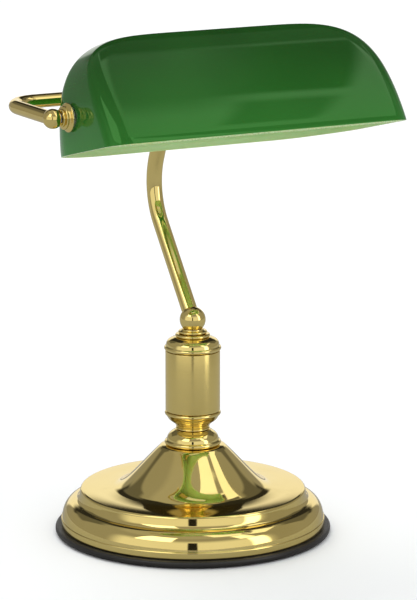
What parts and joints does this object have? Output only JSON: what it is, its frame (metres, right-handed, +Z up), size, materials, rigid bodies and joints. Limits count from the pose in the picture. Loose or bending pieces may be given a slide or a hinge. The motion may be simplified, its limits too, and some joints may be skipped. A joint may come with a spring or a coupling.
{
  "type": "desk lamp",
  "caption": "Banker desk lamp: weighted stepped brass base and column, bent arm, U-shaped yoke and a tilting green glass shade over a tubular bulb.",
  "frame": {"origin": "centre of the round foot's underside, on the surface the lamp stands on", "axes": "+Z up along the column, +X along the shade's length and the tilt hinge, -Y to the front, where the shade's open edge looks"},
  "size_m": [0.2634, 0.1997, 0.3564],
  "materials": {
    "polished_brass": "mirror polished, clear lacquered",
    "satin_brass": "satin, finely brushed round the tube",
    "green_glass": "glossy cased glass, green outside over white opal inside, nearly opaque",
    "opal_glass": "white frosted glass",
    "rubber": "matt black",
    "felt": "dark green felt",
    "cast_iron": "rough as cast",
    "zinc_steel": "zinc plated",
    "nickel": "nickel plated, bright",
    "white_fibre": "pressed fibre, matt",
    "black_resin": "moulded black resin",
    "ceramic": "white glazed porcelain",
    "tungsten": "drawn wire"
  },
  "bodies": {
    "stand": {"foot_pad": "felt", "edge_ring": "rubber", "bottom_plate": "zinc_steel", "base_weight": "cast_iron", "base_shell": "polished_brass", "cord_bushing": "black_resin", "gallery_ring": "polished_brass", "waist_spool": "polished_brass", "column_tube": "satin_brass", "column_cap": "polished_brass", "check_ring_large": "polished_brass", "check_ring_small": "polished_brass", "tie_tube": "zinc_steel", "tie_washer": "zinc_steel", "tie_nut": "zinc_steel", "arm_ball": "polished_brass", "arm_tube": "polished_brass", "tee_coupling": "polished_brass", "yoke_tube": "polished_brass", "pivot_knob_left": "polished_brass", "pivot_collar_left": "polished_brass", "pivot_nipple_left": "zinc_steel", "outer_washer_left": "white_fibre", "inner_washer_left": "white_fibre", "lock_nut_left": "zinc_steel", "pivot_knob_right": "polished_brass", "pivot_collar_right": "polished_brass", "pivot_nipple_right": "zinc_steel", "outer_washer_right": "white_fibre", "inner_washer_right": "white_fibre", "lock_nut_right": "zinc_steel", "holder_cap": "polished_brass", "holder_shell": "polished_brass", "holder_insulator": "ceramic", "holder_sleeve": "nickel", "holder_contact": "nickel"},
    "shade": {"shade_glass": "green_glass", "shade_bush_left": "black_resin", "shade_bush_right": "black_resin"},
    "bulb": {"bulb_contact": "nickel", "bulb_insulator": "black_resin", "bulb_cap": "nickel", "bulb_envelope": "opal_glass", "bulb_stem": "opal_glass", "bulb_filament": "tungsten"}
  },
  "joints": [
    {"name": "shade_tilt", "type": "hinge", "parent": "stand", "child": "shade", "pos_m": [0, -0.0409, 0.3059], "axis": [1, 0, 0], "range_deg": [-90, 90]},
    {"name": "bulb_turn", "type": "hinge", "parent": "stand", "child": "bulb", "pos_m": [-0.06, -0.0409, 0.3059], "axis": [1, 0, 0], "continuous": true}
  ]
}
